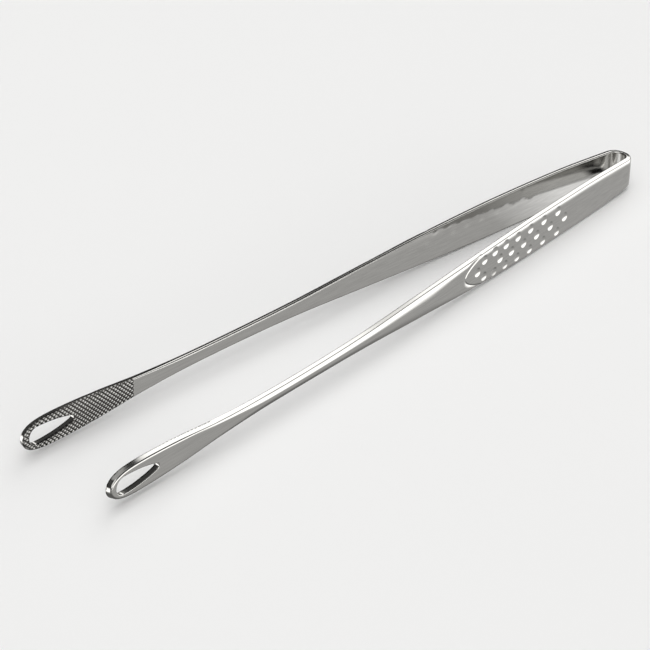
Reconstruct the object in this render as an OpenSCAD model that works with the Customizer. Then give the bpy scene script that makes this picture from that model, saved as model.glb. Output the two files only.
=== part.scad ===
// One-piece spring tongs for lifting prints. A single strip of steel is bent double into a tight
// spring bow, and its two long arms end in looped jaws. The strip stands on its edge: its width
// runs along Z, the arms point along +X, and they close towards the plane Y = 0.
// The origin is under the middle of the tongs, level with the lowest edge of the strip.

/* [Strip] */
// Length of each arm along the middle of the strip, from the crown of the bow to the tip
arm_length = 240; // [225:5:250]
// Thickness of the strip along its middle
strip_t = 2; // [1.8:0.05:2.2]
// Greatest width of the strip, in the middle of the grip
grip_w = 12.4; // [11.6:0.1:13.2]

/* [Bow and arms] */
// Radius of the spring bow, to the middle of the strip
bow_r = 3.6; // [3.4:0.1:4]
// Angle between each arm and the centreline where the arm leaves the bow, in degrees
splay = 5.4; // [5:0.1:5.8]
// Angle that each arm turns back towards the centreline between the bow and the jaw, in degrees
turn_in = 3.65; // [3.3:0.05:4]
// Length along the strip from the crown of the bow to the line that each arm hinges on
hinge_s = 20; // [16:1:26]
// Gap across the strip at that line, which lets the arm turn
parting_gap = 0.15; // [0.12:0.01:0.2]

/* [Grip] */
// Diameter of each round dimple in the grip's outer face
dimple_d = 2.7; // [2.2:0.1:3]
// Depth of each dimple
dimple_depth = 0.35; // [0.25:0.05:0.5]
// Depth of the grip panel below the arm's outer face, at its pointed end
panel_depth = 0.3; // [0.15:0.05:0.4]

/* [Jaw loop] */
// Radius of the slot's wide end, nearest the tip
slot_wide_r = 2.75; // [2.6:0.05:3]
// Radius of the slot's narrow end
slot_narrow_r = 1; // [0.8:0.1:1.3]
// Width of the steel left between the slot and the tip
tip_rim = 2.4; // [2:0.1:3]
// Length of the slot from end to end
slot_length = 16.2; // [15:0.2:17.4]

/* [Hidden] */

steel = [0.62, 0.62, 0.6];
bow_steel = [0.5, 0.5, 0.49];
jaw_steel = [0.55, 0.55, 0.53];
left = 1;
right = -1;
$fn = 48;

// Where each zone of the arm begins and ends, as a length along the strip
nominal_length = 240;
nominal_width = 12.4;
scale_s = arm_length / nominal_length;
scale_w = grip_w / nominal_width;
degree = PI / 180;
bow_end = bow_r * (90 - splay) * degree;
panel_start = 34 * scale_s;
grip_end = 92 * scale_s;
jaw_start = 199.6 * scale_s;

// Width of the strip along the arm: [length along the strip, width], with a straight-edged
// stretch at the widest part, which the tongs rest on
STATIONS = [[0, 9.6], [10, 10.7], [24, 12], [38, 12.4], [46, 12.4], [60, 12.1], [84, 10.5],
            [110, 7.9], [136, 5.05], [158, 4.15], [180, 4.3], [198, 5.8], [212, 8.4],
            [224, 9.7], [240, 9.9]];
// The tip is rounded from here on, as a superellipse of this power
tip_round_start = 222;
tip_power = 4.8;

// The slot narrows away from the tip, faster towards its narrow end by this power
slot_power = 2.1;
slot_steps = 6;

// Rows of dimples: the two outer rows have one at every whole number, and the middle row lies
// half way between them and leaves one out near its end
outer_row = [0:6];
middle_row = [-0.5, 0.5, 1.5, 2.5, 3.5, 4.5, 6.7];
dimple_start = 43.7;
dimple_pitch = 7.5;
dimple_closing = 0.22;
row_offset = 3.5;
row_offset_last = 2.8;
last_dimple = 6;

// The panel's pointed end: how far it lies beyond the last dimple, and how fast it tapers
panel_beyond = 9.3;
panel_taper = 0.33;
panel_steps = 12;
panel_end_steps = 24;

// How finely the outlines and the curves in plan are drawn
bow_facets = 96;
bow_steps = 10;
heel_steps = 6;
grip_plan_steps = 18;
shank_steps = 24;
tip_outline_steps = 28;
// The grip's outline has a point at every station from here on
grip_outline_start = 22 * scale_s;
grip_outline_steps = 35;

// Radius of the shallow arc of each arm, and the straight jaw's angle to the centreline
arm_r = (jaw_start - bow_end) / (turn_in * degree);
jaw_heading = splay - turn_in;
tip_x = plan_at(arm_length)[0] + strip_t / 2 * sin(jaw_heading);
centre_x = (tip_x - strip_t / 2) / 2;
half_grip = grip_w / 2;
cut_margin = 1;
full_height = grip_w + 2 * cut_margin;

// Direction of the strip in plan at length s from the crown, in degrees from +X
function heading(s) = s < bow_end ? 90 - s / bow_r / degree
                                  : splay - min(s - bow_end, jaw_start - bow_end) / arm_r / degree;

// Middle of the strip in plan at length s: round the bow, along a long shallow arc, and then
// straight along the jaw
function plan_at(s) = s < bow_end
    ? bow_r * [1 - sin(heading(s)), cos(heading(s))]
    : bow_r * [1 - sin(splay), cos(splay)]
      + arm_r * [sin(splay) - sin(heading(s)), cos(heading(s)) - cos(splay)]
      + max(0, s - jaw_start) * [cos(jaw_heading), sin(jaw_heading)];

// Point in plan at length s and at a distance outwards from the middle of the strip
function beside(s, out) = plan_at(s) + out * [-sin(heading(s)), cos(heading(s))];

// Cubic through the stations, with the slope at each one taken from its neighbours
function station_slope(i) =
    let (a = STATIONS[max(i - 1, 0)], b = STATIONS[min(i + 1, len(STATIONS) - 1)])
    (b[1] - a[1]) / (b[0] - a[0]);
function station_before(s, i = 0) =
    i >= len(STATIONS) - 2 || STATIONS[i + 1][0] > s ? i : station_before(s, i + 1);
function smooth_width(s) =
    let (i = station_before(s), a = STATIONS[i], b = STATIONS[i + 1], h = b[0] - a[0],
         u = (s - a[0]) / h)
    (2 * u ^ 3 - 3 * u ^ 2 + 1) * a[1] + (u ^ 3 - 2 * u ^ 2 + u) * h * station_slope(i)
    + (3 * u ^ 2 - 2 * u ^ 3) * b[1] + (u ^ 3 - u ^ 2) * h * station_slope(i + 1);
function tip_factor(s) =
    let (u = max(0, (s - tip_round_start) / (nominal_length - tip_round_start)))
    sqrt(max(0, 1 - u ^ tip_power));
function half_width(s) =
    let (nominal = s / scale_s)
    min(half_grip, smooth_width(nominal) * scale_w / 2) * tip_factor(nominal);

// Lengths from a to b in n equal steps
function steps(a, b, n) = [for (i = [0:n]) a + (b - a) * i / n];

// Lengths that crowd together towards the tip, where the outline turns quickly
function tip_steps(n) =
    [for (i = [0:n]) arm_length - (arm_length - jaw_start) * (1 - sin(90 * i / n))];

// Plan of a stretch of one arm between two distances from the middle of the strip
module plan_band(lengths, low, high) {
    polygon(concat([for (s = lengths) beside(s, high)],
                   [for (i = [len(lengths) - 1:-1:0]) beside(lengths[i], low)]));
}

// Side outline of a stretch of the strip, seen along Y, with its ends carried straight on
module side_outline(lengths, before, after) {
    last = len(lengths) - 1;
    top = concat([[plan_at(lengths[0])[0] - before, half_width(lengths[0])]],
                 [for (s = lengths) [plan_at(s)[0], half_width(s)]],
                 [[plan_at(lengths[last])[0] + after, half_width(lengths[last])]]);
    polygon(concat(top, [for (i = [len(top) - 1:-1:0]) [top[i][0], -top[i][1]]]));
}

// Extrudes an outline drawn in X and Z along the whole of Y
module along_y() {
    rotate([90, 0, 0]) linear_extrude(arm_length, center = true) children();
}

// A stretch of one arm: its plan, cut to the width of the strip
module arm_stretch(plan_lengths, outline_lengths, after = strip_t) {
    intersection() {
        linear_extrude(full_height, center = true) plan_band(plan_lengths, -strip_t / 2, strip_t / 2);
        along_y() side_outline(outline_lengths, strip_t, after);
    }
}

// Puts a piece of the left arm in place, or its mirror image for the right arm
module placed(side) {
    translate([-centre_x, 0, half_grip]) mirror([0, side == left ? 0 : 1, 0]) children();
}

// The tight bend at the back, which joins the two heels
module spring_bow() {
    reach = 3 * bow_r;
    // Seen from above, the bend ends square across the strip
    inner = beside(bow_end, -strip_t);
    outer = beside(bow_end, strip_t);
    color(bow_steel) translate([-centre_x, 0, half_grip]) intersection() {
        linear_extrude(full_height, center = true) intersection() {
            translate([bow_r, 0]) difference() {
                circle(bow_r + strip_t / 2, $fn = bow_facets);
                circle(bow_r - strip_t / 2, $fn = bow_facets);
            }
            polygon([[-reach, -reach], [outer[0], -outer[1]], [inner[0], -inner[1]], inner, outer,
                     [-reach, reach]]);
        }
        along_y() side_outline(steps(0, bow_end, bow_steps), strip_t, strip_t);
    }
}

// The plain stretch between the bow and the hinge line, which bends when the tongs are squeezed
module heel(side) {
    lengths = steps(bow_end, hinge_s - parting_gap / 2, heel_steps);
    color(steel) placed(side) arm_stretch(lengths, lengths);
}

// Height of a row of dimples from the middle of the strip at place i along the row
function row_height(i) = (i >= last_dimple ? row_offset_last : row_offset) * scale_w;

// Length along the strip of a dimple at place i: the pitch closes up towards the tip
function dimple_length(i) =
    (dimple_start + dimple_pitch * i - dimple_closing * i ^ 2) * scale_s;

// Ball that cuts one dimple into the outer face of the left arm
module dimple(i, height) {
    ball_r = ((dimple_d / 2) ^ 2 + dimple_depth ^ 2) / (2 * dimple_depth);
    s = dimple_length(i);
    floor_depth = panel_depth * max(0, (s - panel_start) / (grip_end - panel_start));
    centre = beside(s, strip_t / 2 - floor_depth - dimple_depth + ball_r);
    translate([centre[0], centre[1], height]) sphere(ball_r);
}

// Shallow panel cut that starts flush and gets deeper towards its pointed end, a parabola
module panel_cut() {
    apex = dimple_length(last_dimple) + panel_beyond * scale_s;
    lengths = steps(panel_start, grip_end, panel_steps);
    heights = steps(-half_grip - cut_margin, half_grip + cut_margin, panel_end_steps);
    intersection() {
        linear_extrude(full_height, center = true)
            polygon(concat([for (i = [0:panel_steps])
                                beside(lengths[i], strip_t / 2 - panel_depth * i / panel_steps)],
                           [for (i = [panel_steps:-1:0])
                                beside(lengths[i], strip_t / 2 + cut_margin)]));
        along_y() polygon(concat([for (z = heights) [plan_at(apex - panel_taper * z ^ 2)[0], z]],
                                 [[plan_at(panel_start)[0], half_grip + cut_margin],
                                  [plan_at(panel_start)[0], -half_grip - cut_margin]]));
    }
}

// The widest stretch, with its recessed panel and three rows of finger dimples
module grip(side) {
    start = hinge_s + parting_gap / 2;
    color(steel) placed(side) difference() {
        arm_stretch(steps(start, grip_end, grip_plan_steps),
                    concat([start], steps(grip_outline_start, grip_end, grip_outline_steps)));
        panel_cut();
        for (i = outer_row, up = [1, -1]) dimple(i, up * row_height(i));
        for (i = middle_row) dimple(i, 0);
    }
}

// The slim stretch between the grip and the jaw
module shank(side) {
    lengths = steps(grip_end, jaw_start, shank_steps);
    color(steel) placed(side) arm_stretch(lengths, lengths);
}

// Two circles on the jaw's centreline, [place, radius], joined by their common tangents
module linked(a, b) {
    lean = asin((b[1] - a[1]) / (b[0] - a[0]));
    touch = [-sin(lean), cos(lean)];
    translate([a[0], 0]) circle(a[1]);
    translate([b[0], 0]) circle(b[1]);
    polygon([[a[0], 0] + a[1] * touch, [b[0], 0] + b[1] * touch,
             [b[0], 0] + b[1] * [touch[0], -touch[1]], [a[0], 0] + a[1] * [touch[0], -touch[1]]]);
}

// Teardrop slot, seen along Y: round ends, and gently bulging sides between them
module slot_outline() {
    wide = plan_at(arm_length - tip_rim - slot_wide_r)[0];
    narrow = plan_at(arm_length - tip_rim - slot_length + slot_narrow_r)[0];
    chain = [for (i = [0:slot_steps])
        let (share = i / slot_steps)
        [narrow + (wide - narrow) * share,
         slot_narrow_r + (slot_wide_r - slot_narrow_r) * (1 - (1 - share) ^ slot_power)]];
    for (i = [1:slot_steps]) linked(chain[i - 1], chain[i]);
}

// The looped jaw, whose inner face grips the print
module jaw(side) {
    color(jaw_steel) placed(side) difference() {
        arm_stretch([jaw_start, arm_length], tip_steps(tip_outline_steps), 0);
        along_y() slot_outline();
    }
}

spring_bow();
heel(left);  // left_heel
heel(right);  // right_heel
grip(left);  // left_grip
grip(right);  // right_grip
shank(left);  // left_shank
shank(right);  // right_shank
jaw(left);  // left_jaw
jaw(right);  // right_jaw
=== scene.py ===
"""Looks of the one-piece spring tongs: a satin steel strip bent into a bow, with dimpled grips, slim
crowned shanks and looped, cross-hatched jaws. s is the length along the middle of the strip from the
crown of the bow, z is the height from the middle of the strip, and n is the distance outwards from
the middle of the strip. They are in millimetres until Weave.piece() makes metres of them. The stage
is in metres throughout.
"""
import math

import bpy
import numpy as np
from mathutils import Matrix, Vector


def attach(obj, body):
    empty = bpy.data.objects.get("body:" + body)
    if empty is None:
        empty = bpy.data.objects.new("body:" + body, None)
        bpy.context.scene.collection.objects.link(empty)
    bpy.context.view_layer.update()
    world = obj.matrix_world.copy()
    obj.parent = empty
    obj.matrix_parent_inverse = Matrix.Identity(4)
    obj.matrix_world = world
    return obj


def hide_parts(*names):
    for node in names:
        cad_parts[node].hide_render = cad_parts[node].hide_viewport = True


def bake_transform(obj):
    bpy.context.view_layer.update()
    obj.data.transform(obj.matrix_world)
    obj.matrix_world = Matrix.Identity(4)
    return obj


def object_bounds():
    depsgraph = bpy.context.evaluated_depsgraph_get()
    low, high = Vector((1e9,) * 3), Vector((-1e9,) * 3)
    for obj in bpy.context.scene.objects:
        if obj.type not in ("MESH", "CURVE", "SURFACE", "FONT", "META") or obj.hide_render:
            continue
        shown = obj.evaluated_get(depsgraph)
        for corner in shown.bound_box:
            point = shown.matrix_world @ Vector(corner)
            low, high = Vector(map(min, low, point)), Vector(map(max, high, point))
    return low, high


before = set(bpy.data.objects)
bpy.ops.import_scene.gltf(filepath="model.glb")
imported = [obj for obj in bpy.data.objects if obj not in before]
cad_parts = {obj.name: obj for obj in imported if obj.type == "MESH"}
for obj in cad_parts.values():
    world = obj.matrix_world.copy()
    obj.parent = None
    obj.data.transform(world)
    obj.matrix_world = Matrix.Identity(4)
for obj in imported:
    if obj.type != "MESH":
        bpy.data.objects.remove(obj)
CAD_LOW, CAD_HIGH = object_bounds()

MM = 0.001
LEFT, RIGHT = 1, -1

# ---- The strip, as the CAD has it -------------------------------------------------------------
ARM_LENGTH = 240.0
STRIP_T = 2.0
GRIP_W = (CAD_HIGH.z - CAD_LOW.z) / MM
CENTRE_X = 0.5 * (CAD_HIGH.x - CAD_LOW.x) / MM - 0.5 * STRIP_T
BOW_R = 3.6
SPLAY = math.radians(5.4)
TURN_IN = math.radians(3.65)
BOW_END = BOW_R * (math.pi / 2 - SPLAY)
HINGE_S = 20.0
PANEL_START = 34.0
GRIP_END = 92.0
JAW_START = 199.6
ARM_R = (JAW_START - BOW_END) / TURN_IN
# (length along the strip, width)
STATIONS = np.array([
    (0, 9.6), (10, 10.7), (24, 12), (38, 12.4), (46, 12.4), (60, 12.1), (84, 10.5), (110, 7.9),
    (136, 5.05), (158, 4.15), (180, 4.3), (198, 5.8), (212, 8.4), (224, 9.7), (240, 9.9)])
TIP_ROUND_START = 222.0
TIP_POWER = 4.8
SLOT_WIDE_S, SLOT_WIDE_R = 234.85, 2.75
SLOT_NARROW_S, SLOT_NARROW_R = 222.4, 1.0
SLOT_POWER = 2.1

# Three rows of dimples, by their places along the row
OUTER_ROW = range(7)
MIDDLE_ROW = (-0.5, 0.5, 1.5, 2.5, 3.5, 4.5, 6.7)
DIMPLE_START = 43.7
DIMPLE_PITCH = 7.5
DIMPLE_CLOSING = 0.22  # how much the pitch closes up towards the tip
ROW_OFFSET = 3.5
ROW_OFFSET_LAST = 2.8
PANEL_BEYOND = 9.3     # from the last dimple to the panel's pointed end
PANEL_TAPER = 0.33

# ---- Surface detail ---------------------------------------------------------------------------
OUTER_R = 0.4          # rounding of the strip's outer corners
JAW_OUTER_R = 0.7      # and of the jaw's
INNER_R = 0.55         # rounding of its inner corners
JAW_INNER_R = 0.3      # and of the jaw's
RIM_R = 0.2            # rounding of the slot's outer rim
SLANT = 0.22           # how much narrower the outer face is than the inner face, on each side
LEAST_REACH = 0.5      # least half width of the outer face that its crown is fitted to
INNER_CURVE = 0.0055   # the inner face falls from its middle by this times z squared

# The outer face falls towards its edges by SHOULDER_DROP, more along the shank, less at the jaw
SHOULDER_DROP = 0.24
SHANK_DROP = 0.2
JAW_DROP = -0.16
SHOULDER_POWER = 8     # only close to the edges
SHANK_POWER = 2.2      # over the whole width
SHANK_CROWN_IN = (84, 108)
SHANK_CROWN_OUT = (178, 206)
JAW_CROWN_OUT = (190, 224)

PANEL_DEPTH = 0.1
GROOVE_DEPTH = 0.24    # of the groove that outlines the panel's pointed end
GROOVE_INSIDE = 0.3    # width of its steep side
GROOVE_OUTSIDE = 1.3   # width of its gentle side
GROOVE_POWER = 1.5
GROOVE_FADE = (78, 84)
DIMPLE_R = 1.5
DIMPLE_DEPTH = 0.25
BUMP_HEIGHT = 0.04     # of what each dimple raises on the inner face
BUMP_R = 2.2
KNURL_PITCH = 1.05
KNURL_DEPTH = 0.22
KNURL_GROOVE = 0.34    # half the width of a groove, as a share of the pitch
KNURL_FRONT = (JAW_START + 0.15, JAW_START + 0.4)
KNURL_RUN_OUT = 0.2

# ---- Mesh -------------------------------------------------------------------------------------
ACROSS = 64            # cells across each face, an even number
EDGE_ARC = 9           # cells round each corner
EDGE_FLAT = 3          # cells across each sheared edge
FINE_CELL = 0.12       # length of a cell in the bow and the jaw
DIMPLE_CELL = 0.17
PLAIN_CELL = 0.3
SHANK_CELL = 0.35
DIMPLES_FROM = 38.0    # the grip's finer cells start here
INNER_FADE_START = 180.0
LOOP_START = 216.0     # the jaw is woven round its slot from here on
LOOP_COLUMNS = 260
SLIT_COLUMNS = 44      # those of the loop that lie before the slot
WELD_GRID = 2e-4


def smoothstep(x):
    x = np.clip(x, 0, 1)
    return x * x * (3 - 2 * x)


def ease(x, start, end):
    """0 up to start, 1 from end on, and smooth in between."""
    return smoothstep((x - start) / (end - start))


def station_width(s):
    """Width of the strip: a cubic through the stations, with slopes from their neighbours."""
    x, y = STATIONS.T
    slope = np.empty_like(y)
    slope[1:-1] = (y[2:] - y[:-2]) / (x[2:] - x[:-2])
    slope[0] = (y[1] - y[0]) / (x[1] - x[0])
    slope[-1] = (y[-1] - y[-2]) / (x[-1] - x[-2])
    i = np.clip(np.searchsorted(x, s, side="right") - 1, 0, len(x) - 2)
    h = x[i + 1] - x[i]
    u = (s - x[i]) / h
    return ((2 * u**3 - 3 * u**2 + 1) * y[i] + (u**3 - 2 * u**2 + u) * h * slope[i]
            + (3 * u**2 - 2 * u**3) * y[i + 1] + (u**3 - u**2) * h * slope[i + 1])


def half_width(s):
    s = np.asarray(s, float)
    u = np.clip((s - TIP_ROUND_START) / (ARM_LENGTH - TIP_ROUND_START), 0, 1)
    tip = np.sqrt(np.clip(1 - u**TIP_POWER, 0, 1))
    return np.minimum(GRIP_W, station_width(s)) / 2 * tip


def heading(s):
    """Direction of the strip in plan, from +X."""
    return np.where(s < BOW_END, math.pi / 2 - s / BOW_R,
                    SPLAY - (np.clip(s, BOW_END, JAW_START) - BOW_END) / ARM_R)


def place(s, z, n, side):
    """Points of the row frame, in millimetres, from places on the strip."""
    s, z, n = np.broadcast_arrays(np.asarray(s, float), np.asarray(z, float), np.asarray(n, float))
    a = heading(s)
    jaw = np.maximum(0, s - JAW_START)
    in_bow = s < BOW_END
    x = BOW_R * (1 - np.sin(np.where(in_bow, a, SPLAY)))
    y = BOW_R * np.cos(np.where(in_bow, a, SPLAY))
    x = x + np.where(in_bow, 0, ARM_R * (math.sin(SPLAY) - np.sin(a)) + jaw * np.cos(a))
    y = y + np.where(in_bow, 0, ARM_R * (np.cos(a) - math.cos(SPLAY)) + jaw * np.sin(a))
    x = x - n * np.sin(a)
    y = y + n * np.cos(a)
    return np.stack([x - CENTRE_X, side * y, z + GRIP_W / 2], -1)


def dimple_length(i):
    return DIMPLE_START + DIMPLE_PITCH * i - DIMPLE_CLOSING * i * i


def dimple_places():
    """(s, z) of every dimple."""
    places = [(dimple_length(i), 0.0) for i in MIDDLE_ROW]
    for i in OUTER_ROW:
        height = ROW_OFFSET_LAST if i == OUTER_ROW[-1] else ROW_OFFSET
        places += [(dimple_length(i), height), (dimple_length(i), -height)]
    return places


DIMPLES = dimple_places()
PANEL_APEX = dimple_length(OUTER_ROW[-1]) + PANEL_BEYOND


def panel_depth(s, z):
    """Depth of the panel: flush where it starts, and outlined at its pointed end by a fine groove,
    steep on the panel's side and sloping gently up to the arm's face on the other."""
    ramp = np.clip((s - PANEL_START) / (GRIP_END - PANEL_START), 0, 1)
    gap = (PANEL_APEX - PANEL_TAPER * z * z - s) / np.sqrt(1 + (2 * PANEL_TAPER * z) ** 2)
    inside = smoothstep(gap / GROOVE_INSIDE)
    outside = np.clip(1 + gap / GROOVE_OUTSIDE, 0, 1) ** GROOVE_POWER
    groove = GROOVE_DEPTH * ease(s, *GROOVE_FADE) * np.where(gap > 0, 1 - inside, outside)
    return groove + PANEL_DEPTH * ramp * inside


def dimple_depth(s, z):
    depth = np.zeros(np.broadcast(s, z).shape)
    for ds, dz in DIMPLES:
        r = np.hypot(s - ds, z - dz) / DIMPLE_R
        depth = np.maximum(depth, DIMPLE_DEPTH * np.clip(1 - r * r, 0, 1))
    return depth


def bump_height(s, z):
    """What the dimples raise on the inner face."""
    height = np.zeros(np.broadcast(s, z).shape)
    for ds, dz in DIMPLES:
        r = np.hypot(s - ds, z - dz) / BUMP_R
        height = np.maximum(height, BUMP_HEIGHT * (1 - smoothstep(r)))
    return height


def outer_crown(s, share):
    """How far the outer face falls at a share of its half width."""
    shank = ease(s, *SHANK_CROWN_IN) * (1 - ease(s, *SHANK_CROWN_OUT))
    drop = SHOULDER_DROP + SHANK_DROP * shank + JAW_DROP * ease(s, *JAW_CROWN_OUT)
    power = SHOULDER_POWER + (SHANK_POWER - SHOULDER_POWER) * shank
    return drop * np.clip(np.abs(share), 0, 1) ** power


def knurl(s, z):
    """Depth of the cross-hatched grooves, which start at a straight line across the jaw."""
    def groove(x):
        off = np.abs(x / KNURL_PITCH - np.round(x / KNURL_PITCH))
        return np.clip(1 - off / KNURL_GROOVE, 0, 1)
    a = groove((s + z) / math.sqrt(2))
    b = groove((s - z) / math.sqrt(2))
    return KNURL_DEPTH * np.maximum(a, b) * ease(s, *KNURL_FRONT)


def outer_height(s, z):
    """Height of the outer face, with its crown, panel and dimples."""
    share = z / np.maximum(half_width(s) - SLANT, LEAST_REACH)
    return STRIP_T / 2 - outer_crown(s, share) - panel_depth(s, z) - dimple_depth(s, z)


def inner_height(s, z, margin):
    """Height of the inner face, which lies at negative n. The cross-hatching runs out just short of
    the face's edges: margin is the distance to the nearest one."""
    cut = knurl(s, z) * smoothstep(margin / KNURL_RUN_OUT)
    return -(STRIP_T / 2 - INNER_CURVE * z * z + bump_height(s, z) - cut)


# ---- Rows of points, which the pieces are woven from --------------------------------------------
def outer_radius(s):
    """Rounding of the outer corners, which grows along the jaw."""
    return OUTER_R + (JAW_OUTER_R - OUTER_R) * ease(s, JAW_START, LOOP_START)


def inner_radius(s):
    """Rounding of the inner corners, which shrinks just before the jaw."""
    return INNER_R + (JAW_INNER_R - INNER_R) * ease(s, INNER_FADE_START, JAW_START)


def edge_profile(points, inward, upper, lower, slant, outer_r, inner_r):
    """Rows over a sheared edge with rounded corners, from the outer face to the inner face.
    points is where the edge lies, and inward is the direction into the steel, both (s, z)."""
    rows = []
    for i in range(1, EDGE_ARC + 1):
        a = math.pi / 2 * i / EDGE_ARC
        rows.append((slant + outer_r * (1 - math.sin(a)), upper - outer_r * (1 - math.cos(a))))
    for i in range(1, EDGE_FLAT):
        share = i / EDGE_FLAT
        rows.append((slant * (1 - share),
                     (upper - outer_r) * (1 - share) + (lower + inner_r) * share))
    for i in range(EDGE_ARC):
        a = math.pi / 2 * i / EDGE_ARC
        rows.append((inner_r * (1 - math.cos(a)), lower + inner_r * (1 - math.sin(a))))
    return [(points + inward * (d + np.zeros_like(n))[:, None], n) for d, n in rows]


def strip_rows(s):
    """Closed rings round the strip at the lengths s: a list of points and heights, in order."""
    hw = half_width(s)
    up = np.stack([np.zeros_like(s), np.ones_like(s)], -1)
    middle = np.stack([s, np.zeros_like(s)], -1)
    reach = hw[:, None]
    outer_r, inner_r = outer_radius(s), inner_radius(s)
    rows = []
    for share in np.linspace(-1, 1, ACROSS + 1):
        p = middle + up * (reach - SLANT - outer_r[:, None]) * share
        rows.append((p, outer_height(p[:, 0], p[:, 1])))
    inner = []
    for share in np.linspace(1, -1, ACROSS + 1):
        p = middle + up * (reach - inner_r[:, None]) * share
        inner.append((p, inner_height(p[:, 0], p[:, 1], (hw - inner_r) * (1 - abs(share)))))
    over = edge_profile(middle + up * reach, -up, rows[-1][1], inner[0][1], SLANT, outer_r, inner_r)
    under = edge_profile(middle - up * reach, up, rows[0][1], inner[-1][1], SLANT, outer_r, inner_r)
    return rows + over + inner + under[::-1]


class Weave:
    """Gathers quads piece by piece, welds them, and hands out each piece with shared normals."""

    def __init__(self):
        self.points, self.quads, self.owner = [], [], []
        self.count = 0

    def sheet(self, grid, owner, closed=False, flip=False):
        """Adds a grid of points, rows by columns, as quads."""
        rows, columns = grid.shape[:2]
        index = np.arange(rows * columns).reshape(rows, columns) + self.count
        if closed:
            index = np.vstack([index, index[:1]])
        quads = np.stack([index[:-1, :-1], index[:-1, 1:], index[1:, 1:], index[1:, :-1]], -1)
        quads = quads.reshape(-1, 4)
        if flip:
            quads = quads[:, ::-1]
        self.points.append(grid.reshape(-1, 3))
        self.quads.append(quads)
        self.owner += [owner] * len(quads)
        self.count += rows * columns

    def weld(self):
        """Joins the points that coincide, and works out their normals over the whole strip."""
        points = np.concatenate(self.points)
        quads = np.concatenate(self.quads)
        key = np.round(points / WELD_GRID).astype(np.int64)
        _, first, same = np.unique(key, axis=0, return_index=True, return_inverse=True)
        self.points = points[first]
        self.quads = same.reshape(-1)[quads]
        self.owner = np.array(self.owner)
        p = self.points[self.quads]
        normal = np.cross(p[:, 2] - p[:, 0], p[:, 3] - p[:, 1])
        total = np.zeros_like(self.points)
        for k in range(4):
            np.add.at(total, self.quads[:, k], normal)
        self.normals = total / np.maximum(np.linalg.norm(total, axis=1, keepdims=True), 1e-12)

    def piece(self, owner, shade_and_dirt=None):
        """A mesh object of one piece, in metres. The optional function gives each point's share of
        painted shade and dirt.
        """
        quads = self.quads[self.owner == owner]
        used, local = np.unique(quads, return_inverse=True)
        faces = []
        for quad in local.reshape(-1, 4):
            corners = list(dict.fromkeys(quad.tolist()))
            if len(corners) > 2:
                faces.append(corners)
        mesh = bpy.data.meshes.new(owner)
        mesh.from_pydata((self.points[used] * MM).tolist(), [], faces)
        mesh.update()
        mesh.polygons.foreach_set("use_smooth", [True] * len(mesh.polygons))
        mesh.normals_split_custom_set_from_vertices(self.normals[used].tolist())
        if shade_and_dirt is not None:
            layer = mesh.attributes.new("shade_and_dirt", "FLOAT", "POINT")
            layer.data.foreach_set("value", shade_and_dirt(self.points[used]).astype(np.float32))
        obj = bpy.data.objects.new(owner, mesh)
        bpy.context.scene.collection.objects.link(obj)
        return obj


def knurl_shade_and_dirt(points):
    """Share of painted shade and dirt at each point of a jaw: a little all over its cross-hatched
    face, and most of it at the bottom of the grooves, where shade falls."""
    on_land, in_groove = 0.15, 0.85
    face_from, face_to = STRIP_T / 2 - KNURL_DEPTH - 0.25, STRIP_T / 2 - KNURL_DEPTH - 0.15
    angle = SPLAY - TURN_IN
    start = place(JAW_START, 0, 0, LEFT)
    x, y, z = points[:, 0] - start[0], np.abs(points[:, 1]) - start[1], points[:, 2] - start[2]
    s = JAW_START + x * math.cos(angle) + y * math.sin(angle)
    n = y * math.cos(angle) - x * math.sin(angle)
    on_face = np.clip((-n - face_from) / (face_to - face_from), 0, 1)
    land = on_land * ease(s, JAW_START, JAW_START + 0.3)
    return (land + in_groove * knurl(s, z) / KNURL_DEPTH) * on_face


def grid_of(rows, side):
    """Points of the row frame for a list of rows, as an array of rows by columns."""
    return np.stack([place(p[:, 0], p[:, 1], n, side) for p, n in rows])


def stretch(weave, s, side, owner):
    weave.sheet(grid_of(strip_rows(s), side), owner, closed=True, flip=side == LEFT)


# ---- The looped jaw -----------------------------------------------------------------------------
def slot_line():
    """Upper half of the slot's outline, from its narrow end to its wide end, with its normals.
    The sides are the envelope of circles that grow from the narrow end to the wide one."""
    side_count, end_count = 120, 50
    length, growth = SLOT_WIDE_S - SLOT_NARROW_S, SLOT_WIDE_R - SLOT_NARROW_R
    share = np.linspace(0, 1, side_count)
    lean = np.arcsin(growth * SLOT_POWER * (1 - share) ** (SLOT_POWER - 1) / length)
    narrow_end = np.linspace(math.pi, math.pi / 2 + lean[0], end_count)
    wide_end = np.linspace(math.pi / 2, 0, end_count)
    angle = np.concatenate([narrow_end, math.pi / 2 + lean, wide_end])
    share = np.concatenate([np.zeros(end_count), share, np.ones(end_count)])
    centre = SLOT_NARROW_S + length * share
    radius = SLOT_NARROW_R + growth * (1 - (1 - share) ** SLOT_POWER)
    outward = np.stack([np.cos(angle), np.sin(angle)], -1)
    return np.stack([centre, 0 * centre], -1) + radius[:, None] * outward, outward


def resample(line, values, share):
    """Points of a line, and values along it, at given shares of its length."""
    steps = np.linalg.norm(np.diff(line, axis=0), axis=1)
    at = np.concatenate([[0], np.cumsum(steps)])
    at /= at[-1]
    pick = [np.interp(share, at, column) for column in np.concatenate([line, values], 1).T]
    return np.stack(pick[:2], -1), np.stack(pick[2:], -1)


def normals_2d(line):
    """Unit normals of a line of (s, z) points, to the left of its direction."""
    d = np.gradient(line, axis=0)
    n = np.stack([-d[:, 1], d[:, 0]], -1)
    return n / np.maximum(np.linalg.norm(n, axis=1, keepdims=True), 1e-9)


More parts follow.
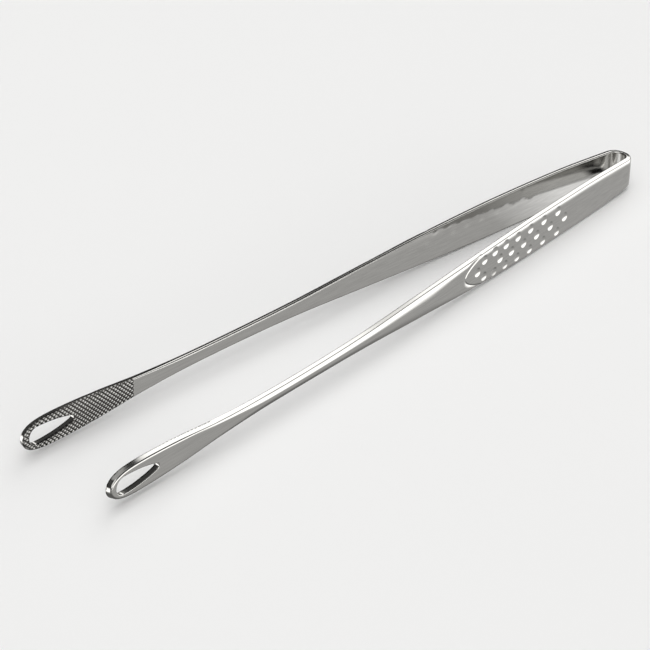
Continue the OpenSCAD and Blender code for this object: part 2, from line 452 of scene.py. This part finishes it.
def loop_columns():
    """Matching points on the outline and on the slot, with their directions into the steel, from
    the loop's first station round to the tip. The slot's points stand against the last columns, and
    the first SLIT_COLUMNS stand against the line z = 0 between the loop's start and the slot."""
    turn = np.sin(np.linspace(0, math.pi / 2, 400))
    lengths = ARM_LENGTH - (ARM_LENGTH - LOOP_START) * (1 - turn)
    upper = np.stack([lengths, half_width(lengths)], -1)
    outline, out_in = resample(upper, -normals_2d(upper), np.linspace(0, 1, LOOP_COLUMNS))
    out_in[0], out_in[-1] = (0, -1), (-1, 0)
    slot, slot_in = resample(*slot_line(), np.linspace(0, 1, LOOP_COLUMNS - SLIT_COLUMNS))
    return outline, out_in, slot, slot_in


def loop(weave, side, owner):
    """The end of the jaw, woven round its slot: the upper half, and its mirror image below."""
    outline, out_in, slot, slot_in = loop_columns()

    def across(outer_margin, rim):
        """Rows from the outline to the slot, with how far each point is from the face's edges."""
        slit = np.linspace(LOOP_START, slot[0, 0] - rim, SLIT_COLUMNS + 1)[:-1]
        slit = np.stack([slit, np.zeros(SLIT_COLUMNS)], -1)
        a = outline + outer_margin * out_in
        b = np.concatenate([slit, slot + rim * slot_in])
        reach = np.linalg.norm(b - a, axis=1)
        beside_slot = np.arange(LOOP_COLUMNS) >= SLIT_COLUMNS
        for share in np.linspace(0, 1, ACROSS // 2 + 1):
            to_slot = np.where(beside_slot, reach * (1 - share), reach)
            yield a + (b - a) * share, np.minimum(reach * share, to_slot)

    for up in (1, -1):
        flip = np.array([1, up])
        outer = [(p * flip, outer_height(*(p * flip).T))
                 for p, _ in across(SLANT + JAW_OUTER_R, RIM_R)]
        inner = [(p * flip, inner_height(*(p * flip).T, margin))
                 for p, margin in across(JAW_INNER_R, JAW_INNER_R)]
        edge = edge_profile(outline * flip, out_in * flip, outer[0][1], inner[0][1], SLANT,
                            JAW_OUTER_R, JAW_INNER_R)
        slot_ends = [(p[SLIT_COLUMNS:], n[SLIT_COLUMNS:]) for p, n in (outer[-1], inner[-1])]
        rim = edge_profile(slot * flip, slot_in * flip, slot_ends[0][1], slot_ends[1][1], 0, RIM_R,
                           JAW_INNER_R)
        turn = (side == LEFT) == (up == 1)
        weave.sheet(grid_of(outer, side), owner, flip=not turn)
        weave.sheet(grid_of(inner, side), owner, flip=turn)
        weave.sheet(grid_of([outer[0]] + edge + [inner[0]], side), owner, flip=turn)
        weave.sheet(grid_of([slot_ends[0]] + rim + [slot_ends[1]], side), owner, flip=not turn)


def spaced(start, end, step):
    return np.linspace(start, end, max(2, int(round((end - start) / step)) + 1))


def build_strip():
    weave = Weave()
    for side, name in ((LEFT, "left"), (RIGHT, "right")):
        stretch(weave, spaced(0, BOW_END, FINE_CELL), side, "spring_bow")
        stretch(weave, spaced(BOW_END, HINGE_S, PLAIN_CELL), side, name + "_heel")
        stretch(weave, spaced(HINGE_S, DIMPLES_FROM, PLAIN_CELL), side, name + "_grip")
        stretch(weave, spaced(DIMPLES_FROM, GRIP_END, DIMPLE_CELL), side, name + "_grip")
        stretch(weave, spaced(GRIP_END, JAW_START, SHANK_CELL), side, name + "_shank")
        stretch(weave, spaced(JAW_START, LOOP_START, FINE_CELL), side, name + "_jaw")
        loop(weave, side, name + "_jaw")
    weave.weld()
    return weave


# ---- Materials ----------------------------------------------------------------------------------
STEEL_TONE = (0.5, 0.495, 0.48)
STREAK_CONTRAST = 0.06
# Darkest colour of the painted shade and dirt in the jaw's grooves, and the share at which it is
# reached
SHADE_AND_DIRT_TONE = (0.09, 0.09, 0.085)
SHADE_AND_DIRT_FULL = 0.85
ROUGHNESS_FROM, ROUGHNESS_TO = 0.085, 0.12
GRAIN_STRENGTH, GRAIN_DEPTH = 0.15, 0.00002
FLOOR_TONE_FROM, FLOOR_TONE_TO = 0.84, 0.86


class Graph:
    """Shorthand for adding nodes to a node tree. Each call gives the new node's output."""

    def __init__(self, tree):
        self.nodes, self.links = tree.nodes, tree.links

    def put(self, value, socket):
        """Sets a socket to a plain value, or links it to an output."""
        if isinstance(value, bpy.types.NodeSocket):
            self.links.new(value, socket)
        else:
            socket.default_value = value

    def where(self, kind):
        return self.nodes.new("ShaderNodeTexCoord").outputs[kind]

    def noise(self, where, stretch_by, size, detail):
        mapping = self.nodes.new("ShaderNodeMapping")
        self.put(where, mapping.inputs["Vector"])
        self.put(stretch_by, mapping.inputs["Scale"])
        texture = self.nodes.new("ShaderNodeTexNoise")
        self.put(mapping.outputs["Vector"], texture.inputs["Vector"])
        self.put(size, texture.inputs["Scale"])
        self.put(detail, texture.inputs["Detail"])
        return texture.outputs["Fac"]

    def colours(self, value, low, high, low_colour, high_colour):
        ramp = self.nodes.new("ShaderNodeValToRGB")
        first, last = ramp.color_ramp.elements
        first.position, first.color = low, (*low_colour, 1)
        last.position, last.color = high, (*high_colour, 1)
        self.put(value, ramp.inputs["Fac"])
        return ramp.outputs["Color"]

    def multiply_colours(self, a, b):
        mix = self.nodes.new("ShaderNodeMix")
        mix.data_type = "RGBA"
        mix.blend_type = "MULTIPLY"
        first, second = [s for s in mix.inputs if s.type == "RGBA"]
        self.put(1.0, mix.inputs["Factor"])
        self.put(a, first)
        self.put(b, second)
        return next(s for s in mix.outputs if s.type == "RGBA")

    def rise(self, value, low, high, bottom=0.0, top=1.0, kind="SMOOTHSTEP"):
        step = self.nodes.new("ShaderNodeMapRange")
        step.interpolation_type = kind
        self.put(value, step.inputs["Value"])
        self.put(low, step.inputs["From Min"])
        self.put(high, step.inputs["From Max"])
        self.put(bottom, step.inputs["To Min"])
        self.put(top, step.inputs["To Max"])
        return step.outputs["Result"]

    def math(self, kind, a, b):
        node = self.nodes.new("ShaderNodeMath")
        node.operation = kind
        self.put(a, node.inputs[0])
        self.put(b, node.inputs[1])
        return node.outputs[0]

    def product(self, first, *others):
        for other in others:
            first = self.math("MULTIPLY", first, other)
        return first

    def along(self, vector, axis):
        """How far a vector reaches along an axis."""
        dot = self.nodes.new("ShaderNodeVectorMath")
        dot.operation = "DOT_PRODUCT"
        self.put(vector, dot.inputs[0])
        self.put(axis, dot.inputs[1])
        return dot.outputs["Value"]

    def mix_shaders(self, share, first, second):
        mix = self.nodes.new("ShaderNodeMixShader")
        self.put(share, mix.inputs["Fac"])
        self.put(first, mix.inputs[1])
        self.put(second, mix.inputs[2])
        return mix.outputs["Shader"]


def new_material(name):
    material = bpy.data.materials.new(name)
    material.use_nodes = True
    return material, Graph(material.node_tree)


def brushed_steel(name, shaded_and_dirty=False):
    """Satin steel with a fine grain drawn along the strip and faint polishing marks."""
    material, graph = new_material(name)
    shader = graph.nodes["Principled BSDF"].inputs
    where = graph.where("Object")
    streaks = graph.noise(where, (60, 1800, 1800), 1, 3)
    clouds = graph.noise(where, (1, 1, 1), 70, 4)
    dark = [c * (1 - STREAK_CONTRAST) for c in STEEL_TONE]
    light = [c * (1 + STREAK_CONTRAST) for c in STEEL_TONE]
    tone = graph.colours(streaks, 0.3, 0.7, dark, light)
    # On the jaws the tone is darkened by painted shade and dirt, most of it in the grooves of the
    # cross-hatching
    if shaded_and_dirty:
        shade_and_dirt = graph.nodes.new("ShaderNodeAttribute")
        shade_and_dirt.attribute_name = "shade_and_dirt"
        shade_and_dirt_tint = graph.colours(shade_and_dirt.outputs["Fac"], 0.0, SHADE_AND_DIRT_FULL, (1, 1, 1), SHADE_AND_DIRT_TONE)
        tone = graph.multiply_colours(tone, shade_and_dirt_tint)
    graph.put(1.0, shader["Metallic"])
    graph.put(tone, shader["Base Color"])
    graph.put(graph.rise(clouds, 0, 1, ROUGHNESS_FROM, ROUGHNESS_TO, "LINEAR"), shader["Roughness"])
    bump = graph.nodes.new("ShaderNodeBump")
    graph.put(GRAIN_STRENGTH, bump.inputs["Strength"])
    graph.put(GRAIN_DEPTH, bump.inputs["Distance"])
    graph.put(streaks, bump.inputs["Height"])
    graph.put(bump.outputs["Normal"], shader["Normal"])
    return material


def floor_material():
    material, graph = new_material("pale_floor")
    shader = graph.nodes["Principled BSDF"].inputs
    paper = graph.nodes.new("ShaderNodeTexNoise")
    graph.put(40, paper.inputs["Scale"])
    tone = graph.colours(paper.outputs["Fac"], 0, 1, [FLOOR_TONE_FROM] * 3, [FLOOR_TONE_TO] * 3)
    graph.put(0.9, shader["Roughness"])
    graph.put(tone, shader["Base Color"])
    return material


# ---- Stage --------------------------------------------------------------------------------------
AIM = Vector((0.010406, -0.006431, 0.000677))
CAMERA_AZIMUTH, CAMERA_ELEVATION, CAMERA_ROLL = 132.195, 31.54, 1.72
CAMERA_DISTANCE = 0.951186
CAMERA_LENS = 182.4
SENSOR_WIDTH = 36
FLOOR_REACH = 8.0
OVERHEAD_ELEVATION = 88
OVERHEAD_DISTANCE = 1.6
OVERHEAD_SIZE = 3.0
OVERHEAD_POWER = 25

# The parts of the light tent, and how bright each of them is
TENT_COLOUR = (1, 0.995, 0.98)
BACKDROP = (0.9, 0.9, 0.9)
BASE_LIGHT, BASE_LIGHT_BELOW, BASE_DIMMED = 0.52, 0.1, 0.45
BAND_LIGHT = 2.0
WALL_LIGHT = 2.1
BOX_LIGHT = 2.3
FRONT_BOX_LIGHT = 1.1
CEILING_LIGHT = 0.5
LEAST_LIGHT = 0.07
BAND_TILT = 0.12
BOX_CORE, BOX_REACH = math.radians(19), math.radians(31)

# The card under the bow, which puts painted shade and a painted reflection in the steel: where it
# starts, turns from black to white, starts to fade, and ends
CARD_START, CARD_BLACK_END, CARD_WHITE_START, CARD_FADE_START, CARD_END = (
    -0.1178, -0.1149, -0.1116, -0.099, -0.07)
CARD_START_HALF, CARD_END_HALF = 0.0026, 0.0062
CARD_HEIGHT = 0.0001
# Brightness of its black painted shade and of its white painted reflection
CARD_PAINTED_SHADE, CARD_PAINTED_REFLECTION = 0.015, 1.25


def direction(azimuth, elevation):
    """Unit vector from the object towards a viewer or light. Azimuth 0 is in front, at -Y."""
    a, e = math.radians(azimuth), math.radians(elevation)
    return Vector((math.sin(a) * math.cos(e), -math.cos(a) * math.cos(e), math.sin(e)))


def facing_back(away):
    """Rotation of a camera or a lamp that looks back along the direction it lies in."""
    return (-away).to_track_quat("-Z", "Y").to_matrix().to_4x4()


def make_camera():
    data = bpy.data.cameras.new("camera")
    camera = bpy.data.objects.new("camera", data)
    bpy.context.scene.collection.objects.link(camera)
    away = direction(CAMERA_AZIMUTH, CAMERA_ELEVATION)
    roll = Matrix.Rotation(math.radians(CAMERA_ROLL), 4, "Z")
    camera.matrix_world = Matrix.Translation(AIM + away * CAMERA_DISTANCE) @ facing_back(away) @ roll
    data.lens = CAMERA_LENS
    data.sensor_width = SENSOR_WIDTH
    data.clip_start = 0.05
    data.clip_end = 20
    bpy.context.scene.camera = camera


def make_overhead_light():
    """The broad soft light over the floor, which doesn't show in the steel."""
    data = bpy.data.lights.new("overhead", "AREA")
    data.shape = "RECTANGLE"
    data.size = data.size_y = OVERHEAD_SIZE
    data.energy = OVERHEAD_POWER
    light = bpy.data.objects.new("overhead", data)
    bpy.context.scene.collection.objects.link(light)
    away = direction(0, OVERHEAD_ELEVATION)
    light.matrix_world = Matrix.Translation(away * OVERHEAD_DISTANCE) @ facing_back(away)
    light.visible_glossy = False


def make_world():
    """A light tent for the steel to reflect. Its parts are bounded by how far each direction
    reaches along an axis: upwards, to the viewer's right and left, and to the front."""
    world = bpy.data.worlds.new("studio")
    world.use_nodes = True
    graph = Graph(world.node_tree)
    where = graph.where("Generated")
    height = graph.along(where, (0, 0, 1))
    front = graph.along(where, (0.707, 0.707, 0))

    # A grey base below the horizon, darker at the bottom and dimmed below the viewer
    base = graph.rise(height, -0.8, -0.55, BASE_LIGHT_BELOW, BASE_LIGHT)
    dim = graph.math("MAXIMUM", graph.rise(front, 0.55, 0.8, 1, BASE_DIMMED),
                     graph.rise(height, -0.42, -0.32))
    base = graph.product(base, dim, graph.rise(height, -0.3, 0.0, 1, 0))

    # A bright band below the horizon on the right and on the left, lower down on the side of the
    # tips than on the side of the bow, and missing below the viewer
    tilt = graph.product(graph.along(where, (0.62, -0.55, 0)), BAND_TILT)
    right = graph.rise(graph.along(where, (-0.35, 0.94, 0)), 0.25, 0.5)
    left = graph.rise(graph.along(where, (0.75, -0.66, 0)), 0.6, 0.8)
    band = graph.product(graph.rise(graph.math("ADD", height, tilt), -0.55, -0.4),
                         graph.rise(height, -0.02, 0.06, 1, 0),
                         graph.math("MAXIMUM", right, left),
                         graph.rise(front, 0.55, 0.8, 1, 0))

    # A bright wall on the right, just above the horizon
    wall = graph.product(graph.rise(graph.along(where, (-0.3, 0.95, 0)), 0.2, 0.6),
                         graph.rise(height, 0.18, 0.34, 1, 0),
                         graph.rise(height, -0.05, 0.03))

    # A soft box high on the far side with one straight edge, another on the near side, and a soft
    # light straight above
    box = graph.product(graph.rise(graph.along(where, (-0.667, -0.314, 0.68)),
                                   math.cos(BOX_REACH), math.cos(BOX_CORE)),
                        graph.rise(graph.along(where, (-1, 0, 0)), 0.55, 0.62))
    front_box = graph.rise(graph.along(where, (0.6, 0.45, 0.66)), 0.8, 0.93)
    ceiling = graph.rise(height, 0.84, 0.93)

    light = base
    for part, power in ((band, BAND_LIGHT), (wall, WALL_LIGHT), (box, BOX_LIGHT),
                        (front_box, FRONT_BOX_LIGHT), (ceiling, CEILING_LIGHT)):
        light = graph.math("ADD", light, graph.product(part, power))
    tent = graph.nodes["Background"]
    graph.put((*TENT_COLOUR, 1), tent.inputs["Color"])
    graph.put(graph.math("ADD", light, LEAST_LIGHT), tent.inputs["Strength"])

    # Seen directly, behind the floor, the tent is plain
    backdrop = graph.nodes.new("ShaderNodeBackground")
    graph.put((*BACKDROP, 1), backdrop.inputs["Color"])
    seen = graph.nodes.new("ShaderNodeLightPath").outputs["Is Camera Ray"]
    mix = graph.mix_shaders(seen, tent.outputs[0], backdrop.outputs[0])
    graph.put(mix, graph.nodes["World Output"].inputs["Surface"])
    bpy.context.scene.world = world


def flat_sheet(name, corners, material):
    mesh = bpy.data.meshes.new(name)
    mesh.from_pydata(corners, [], [(0, 1, 2, 3)])
    mesh.materials.append(material)
    sheet = bpy.data.objects.new(name, mesh)
    bpy.context.scene.collection.objects.link(sheet)
    return sheet


def make_painted_reflection_card():
    """A small card under the bow, which only the steel's reflections see. It is black beneath the
    bend, a painted shade for the hollow under the bow, and glows white between the heels as a painted
    reflection, and fades away between the grips."""
    material, graph = new_material("painted_reflection_tones")
    split = graph.nodes.new("ShaderNodeSeparateXYZ")
    graph.put(graph.where("Object"), split.inputs[0])
    along = split.outputs["X"]
    glow = graph.nodes.new("ShaderNodeEmission")
    graph.put(graph.rise(along, CARD_BLACK_END, CARD_WHITE_START, CARD_PAINTED_SHADE, CARD_PAINTED_REFLECTION, "LINEAR"),
              glow.inputs["Strength"])
    clear = graph.nodes.new("ShaderNodeBsdfTransparent")
    share = graph.rise(along, CARD_FADE_START, CARD_END, 1, 0, "LINEAR")
    mix = graph.mix_shaders(share, clear.outputs["BSDF"], glow.outputs["Emission"])
    graph.put(mix, graph.nodes["Material Output"].inputs["Surface"])
    corners = [(CARD_START, -CARD_START_HALF, CARD_HEIGHT), (CARD_END, -CARD_END_HALF, CARD_HEIGHT),
               (CARD_END, CARD_END_HALF, CARD_HEIGHT), (CARD_START, CARD_START_HALF, CARD_HEIGHT)]
    painted_reflection_card = flat_sheet("painted_reflection_card", corners, material)
    painted_reflection_card.visible_camera = painted_reflection_card.visible_diffuse = painted_reflection_card.visible_shadow = False


def make_stage():
    make_world()
    make_painted_reflection_card()
    corners = [(x * FLOOR_REACH, y * FLOOR_REACH, 0) for x, y in ((-1, -1), (1, -1), (1, 1), (-1, 1))]
    floor = flat_sheet("floor", corners, floor_material())
    # The tent's base shows in the steel instead of the floor
    floor.visible_glossy = False
    make_overhead_light()
    bpy.context.scene.view_settings.view_transform = "Standard"


# ---- Assembly -----------------------------------------------------------------------------------
make_camera()
make_stage()
weave = build_strip()
satin = brushed_steel("satin_steel")
# The jaws' steel darkens with painted shade and dirt in its cross-hatched grooves
jaw_satin = brushed_steel("jaw_steel", shaded_and_dirty=True)

# Two points on the left arm's centre line, at the end of the bow and as far past the hinge
flex_start = place(BOW_END, 0, 0, LEFT) * MM
flex_end = place(2 * HINGE_S - BOW_END, 0, 0, LEFT) * MM

for name in sorted(set(weave.owner.tolist())):
    is_jaw = name.endswith("jaw")
    is_left = name.startswith("left")
    piece = weave.piece(name, knurl_shade_and_dirt if is_jaw else None)
    piece.data.materials.append(jaw_satin if is_jaw else satin)
    arm = "left_arm" if is_left else "right_arm"
    if name == "spring_bow":
        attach(piece, "bow")
    elif name.endswith("heel") or name.endswith("grip"):
        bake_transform(piece)
    else:
        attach(piece, arm)
    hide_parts(name)
